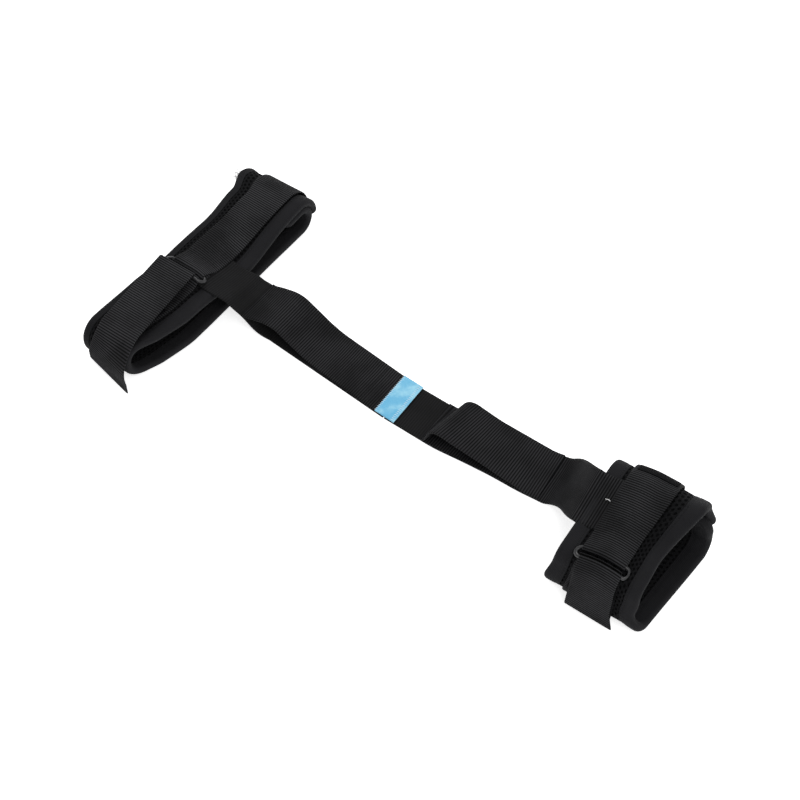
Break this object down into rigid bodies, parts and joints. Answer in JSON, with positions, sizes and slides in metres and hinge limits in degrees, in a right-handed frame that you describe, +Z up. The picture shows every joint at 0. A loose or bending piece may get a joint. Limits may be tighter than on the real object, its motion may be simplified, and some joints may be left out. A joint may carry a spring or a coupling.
{
  "type": "leg lifting gait belt",
  "caption": "Padded thigh cuff and smaller padded ankle cuff joined by a webbing strap with sewn hand grips, ring closures and a woven label.",
  "frame": {"origin": "middle of the belt's bounding box, on the surface it lies on", "axes": "+X along the strap from the thigh cuff to the ankle cuff, +Z up"},
  "size_m": [0.595, 0.2963, 0.0777],
  "materials": {
    "webbing": "ribbed polypropylene webbing",
    "outer_mesh": "perforated spacer mesh",
    "lining_mesh": "soft perforated mesh",
    "edge_binding": "smooth knitted binding tape",
    "foam": "open-cell foam",
    "hook_loop_tape": "hook and loop tape",
    "ring_plastic": "moulded acetal, semi-gloss",
    "label": "woven satin",
    "stitching": "bonded nylon thread"
  },
  "bodies": {
    "strap": {"strap_webbing_thigh_side": "webbing", "thigh_side_grip": "webbing", "thigh_side_bar_tacks": "stitching", "woven_label": "label", "label_stitching": "stitching"},
    "ankle_strap": {"strap_webbing_ankle_side": "webbing", "ankle_side_grip": "webbing", "ankle_side_bar_tacks": "stitching"},
    "thigh_cuff": {"thigh_pad_foam": "foam", "thigh_pad_outer_mesh": "outer_mesh", "thigh_pad_lining": "lining_mesh", "thigh_edge_binding": "edge_binding", "thigh_cuff_webbing": "webbing", "thigh_link_webbing": "webbing", "thigh_box_stitching": "stitching", "thigh_loop_tape": "hook_loop_tape"},
    "thigh_ring": {"thigh_ring": "ring_plastic"},
    "thigh_tail": {"thigh_tail_webbing": "webbing", "thigh_hook_tape": "hook_loop_tape"},
    "ankle_cuff": {"ankle_pad_foam": "foam", "ankle_pad_outer_mesh": "outer_mesh", "ankle_pad_lining": "lining_mesh", "ankle_edge_binding": "edge_binding", "ankle_cuff_webbing": "webbing", "ankle_link_webbing": "webbing", "ankle_box_stitching": "stitching", "ankle_loop_tape": "hook_loop_tape", "ankle_far_hook_tab": "hook_loop_tape"},
    "ankle_ring": {"ankle_ring": "ring_plastic"},
    "ankle_tail": {"ankle_tail_webbing": "webbing", "ankle_hook_tape": "hook_loop_tape"}
  },
  "joints": [
    {"name": "thigh_fold", "type": "hinge", "parent": "strap", "child": "thigh_cuff", "pos_m": [-0.1915, 0.00759, 0.02562], "axis": [0, 1, 0], "range_deg": [-60, 60]},
    {"name": "mid_fold", "type": "hinge", "parent": "strap", "child": "ankle_strap", "pos_m": [0.0205, 0.00159, 0.0008], "axis": [0, -1, 0], "range_deg": [-60, 90]},
    {"name": "ankle_fold", "type": "hinge", "parent": "ankle_strap", "child": "ankle_cuff", "pos_m": [0.1555, 0.00159, 0.0008], "axis": [0, -1, 0], "range_deg": [-60, 60]},
    {"name": "thigh_ring_swing", "type": "hinge", "parent": "thigh_cuff", "child": "thigh_ring", "pos_m": [-0.2535, -0.01441, 0.0494], "axis": [-1, 0, 0], "range_deg": [0, 40]},
    {"name": "thigh_tail_peel", "type": "hinge", "parent": "thigh_ring", "child": "thigh_tail", "pos_m": [-0.2535, -0.02334, 0.05265], "axis": [-1, 0, 0], "range_deg": [0, 120]},
    {"name": "ankle_ring_swing", "type": "hinge", "parent": "ankle_cuff", "child": "ankle_ring", "pos_m": [0.2465, -0.06498, 0.05944], "axis": [-1, 0, 0], "range_deg": [0, 40]},
    {"name": "ankle_tail_peel", "type": "hinge", "parent": "ankle_ring", "child": "ankle_tail", "pos_m": [0.2465, -0.0742, 0.05714], "axis": [-1, 0, 0], "range_deg": [0, 140]}
  ]
}
